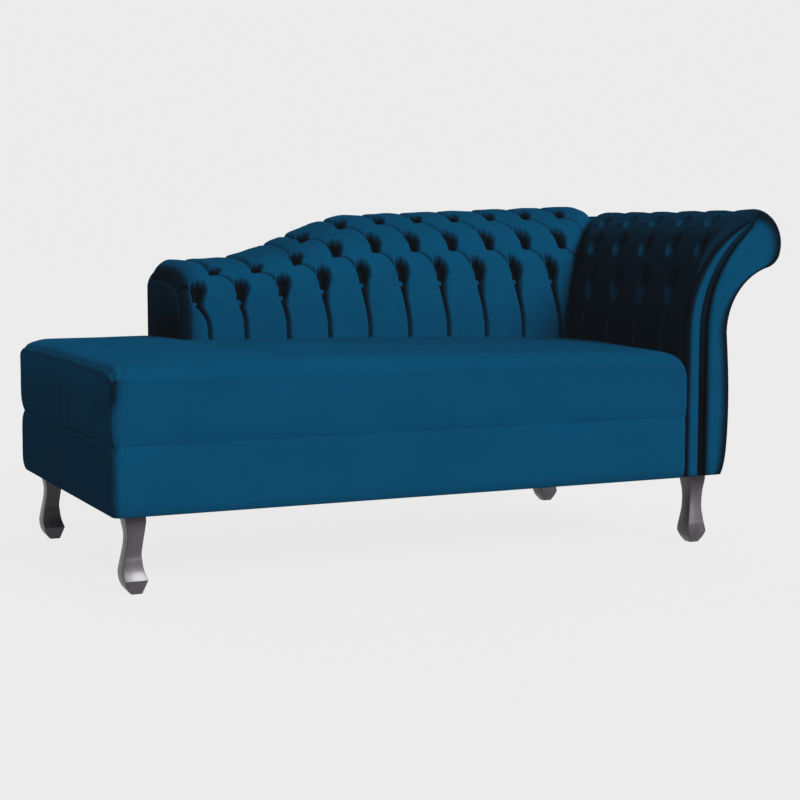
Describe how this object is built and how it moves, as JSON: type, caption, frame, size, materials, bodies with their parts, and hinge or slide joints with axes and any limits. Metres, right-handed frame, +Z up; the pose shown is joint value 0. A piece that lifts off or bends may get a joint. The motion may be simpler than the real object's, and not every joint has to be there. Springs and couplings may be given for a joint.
{
  "type": "fainting couch",
  "caption": "Upholstered fainting couch with a long open-ended seat, one scrolled arm, a deep-buttoned back that steps up to the arm, and cabriole legs.",
  "frame": {"origin": "on the floor, under the middle of the overall length and depth", "axes": "+X from the open end to the scrolled arm, +Y from the front to the rear, +Z up"},
  "size_m": [1.6, 0.8, 0.7804],
  "materials": {
    "velvet": "deep blue short-pile upholstery velvet",
    "button_velvet": "the same velvet, stretched over a button",
    "leg_wood": "dark grey-brown stain under satin lacquer",
    "pine": "planed softwood, bare",
    "plywood": "plywood, bare",
    "zinc_steel": "zinc-plated steel",
    "black_cloth": "black non-woven cloth",
    "webbing": "elastic webbing",
    "deck_cloth": "unbleached cotton",
    "foam": "open-cell foam"
  },
  "bodies": {
    "root": {"base_front_rail": "pine", "base_back_rail": "pine", "base_left_rail": "pine", "base_right_rail": "pine", "base_cross_rails": "pine", "corner_blocks": "pine", "leg_front_left": "leg_wood", "leg_back_left": "leg_wood", "leg_front_right": "leg_wood", "leg_back_right": "leg_wood", "leg_bolts": "zinc_steel", "arm_bolts": "zinc_steel", "arm_bolt_nuts": "zinc_steel", "back_screws": "zinc_steel", "dust_cover": "black_cloth", "base_border": "velvet", "webbing_long": "webbing", "webbing_cross": "webbing", "seat_deck": "deck_cloth", "seat_foam": "foam", "seat_cover": "velvet", "back_sill": "pine", "back_ribs": "plywood", "back_front_board": "plywood", "back_ridge_rail": "plywood", "back_rear_board": "plywood", "back_pad": "velvet", "back_buttons": "button_velvet", "back_end_cover": "velvet", "back_outside_cover": "velvet", "arm_front_board": "plywood", "arm_middle_board": "plywood", "arm_rear_board": "plywood", "arm_side_rail": "pine", "arm_rails": "pine", "arm_pad": "velvet", "arm_buttons": "button_velvet", "arm_roll_cover": "velvet", "arm_front_band": "velvet", "arm_front_facing": "velvet", "arm_outside_cover": "velvet", "arm_front_cover": "velvet"}
  },
  "joints": []
}
